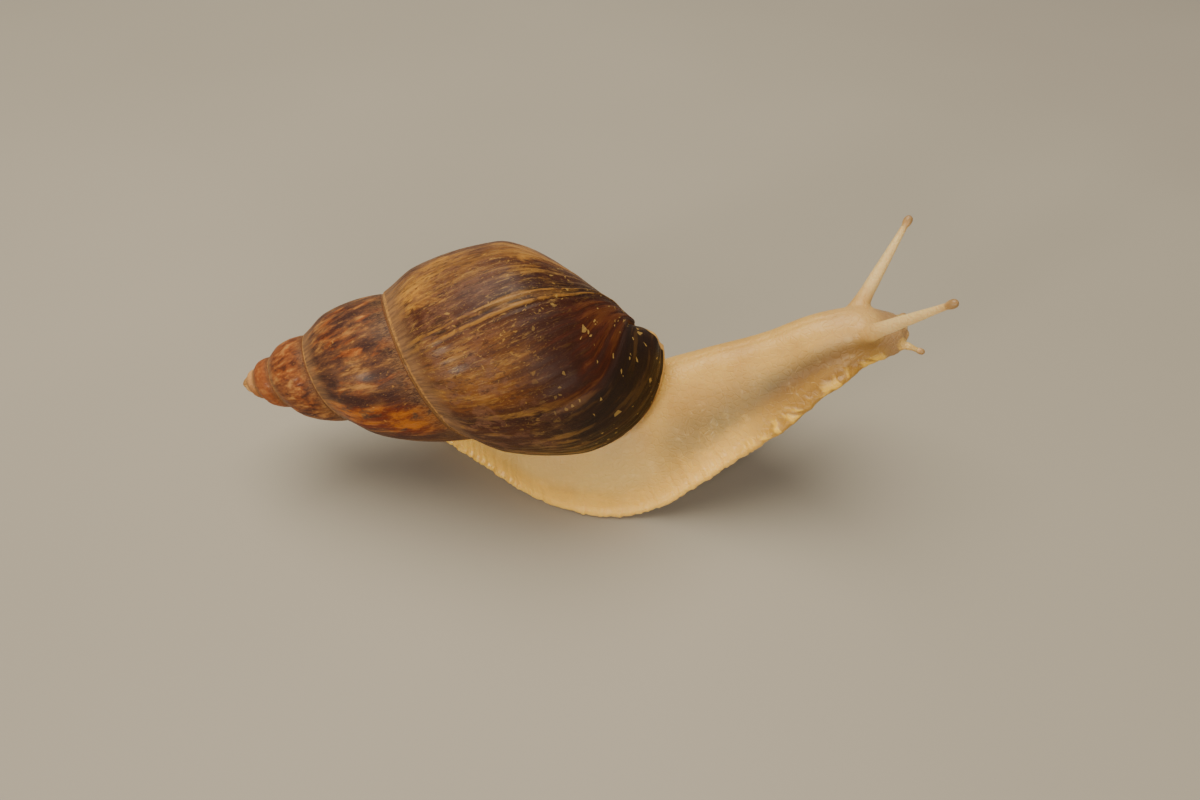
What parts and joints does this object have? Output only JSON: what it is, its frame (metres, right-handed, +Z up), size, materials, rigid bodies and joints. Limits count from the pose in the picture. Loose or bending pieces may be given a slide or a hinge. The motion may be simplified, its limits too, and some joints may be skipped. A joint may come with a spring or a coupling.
{
  "type": "giant african land snail",
  "caption": "Life-size still model of a cream-bodied giant African land snail creeping with its neck raised, brown streaked spiral shell.",
  "frame": {"origin": "on the flat of the sole, at floor level, below the front of the shell", "axes": "+X towards the head, +Y towards the animal's left, +Z up"},
  "size_m": [0.147, 0.045, 0.0594],
  "materials": {
    "shell": "satin brown shell with growth streaks, worn and reddish towards the apex",
    "flesh": "moist satin cream skin with a yellower foot fringe",
    "tentacle_bulb": "moist tan"
  },
  "bodies": {
    "root": {"shell_body_whorl": "shell", "shell_penultimate_whorl": "shell", "shell_third_whorl": "shell", "shell_apex": "shell", "shell_lip": "shell", "mantle_collar": "flesh", "back_front": "flesh", "back_rear": "flesh", "head": "flesh", "neck_lower": "flesh", "neck_upper": "flesh", "tail": "flesh", "sole_front": "flesh", "sole_middle": "flesh", "sole_rear": "flesh", "sole_tail": "flesh", "sole_tip": "flesh", "lower_tentacle_left": "flesh", "lower_tentacle_right": "flesh", "tentacle_base_left": "flesh", "tentacle_base_right": "flesh", "tentacle_stalk_left": "flesh", "tentacle_stalk_right": "flesh", "mouth_lip_left": "flesh", "mouth_lip_right": "flesh", "eye_bulb_left": "tentacle_bulb", "eye_bulb_right": "tentacle_bulb", "lower_tentacle_tip_left": "tentacle_bulb", "lower_tentacle_tip_right": "tentacle_bulb"}
  },
  "joints": []
}
